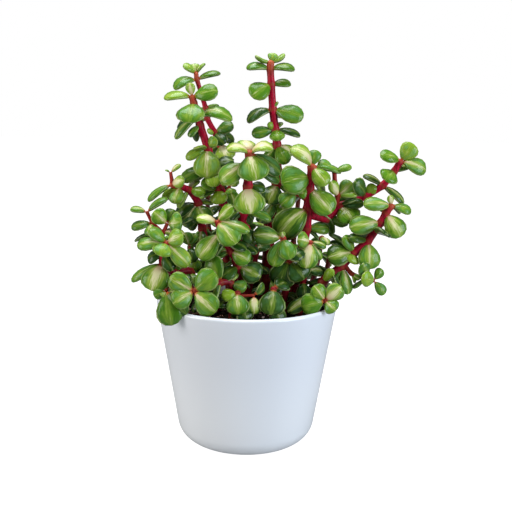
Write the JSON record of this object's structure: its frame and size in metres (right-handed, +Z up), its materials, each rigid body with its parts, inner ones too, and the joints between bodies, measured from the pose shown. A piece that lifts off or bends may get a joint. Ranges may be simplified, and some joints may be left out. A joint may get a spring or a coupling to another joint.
{
  "type": "potted elephant bush",
  "caption": "Potted elephant bush: crimson stems with pairs of fleshy green and cream leaves, standing in potting mix in a white glazed tapered pot.",
  "frame": {"origin": "centre of the pot's flat base", "axes": "+Z up out of the pot, -Y towards the viewer, +X to the viewer's right"},
  "size_m": [0.187, 0.1228, 0.2541],
  "materials": {
    "white_glaze": "smooth white glaze",
    "potting_mix": "dark crumbly mix",
    "mix_bits": "pale mineral and bark bits",
    "leaf": "waxy leaf, green with a cream stripe",
    "stem": "smooth crimson stem"
  },
  "bodies": {
    "root": {"pot": "white_glaze", "potting_mix": "potting_mix", "stem_low_centre": "leaf", "stem_low_front": "leaf", "stem_low_left": "leaf", "stem_low_right": "leaf", "stem_left_front": "leaf", "stem_front": "leaf", "stem_left_low": "leaf", "stem_inner_right": "leaf", "stem_inner_far": "leaf", "stem_left": "leaf", "stem_right": "leaf", "stem_far_right": "leaf", "stem_left_side": "leaf", "stem_tall": "leaf", "stem_left_back": "leaf", "stem_back_left": "leaf", "stem_back": "leaf", "stem_back_right": "leaf", "stem_behind_middle": "leaf", "stem_side_right": "leaf", "stem_back_side_right": "leaf", "stem_side_left": "leaf", "stem_back_side_left": "leaf"}
  },
  "joints": []
}
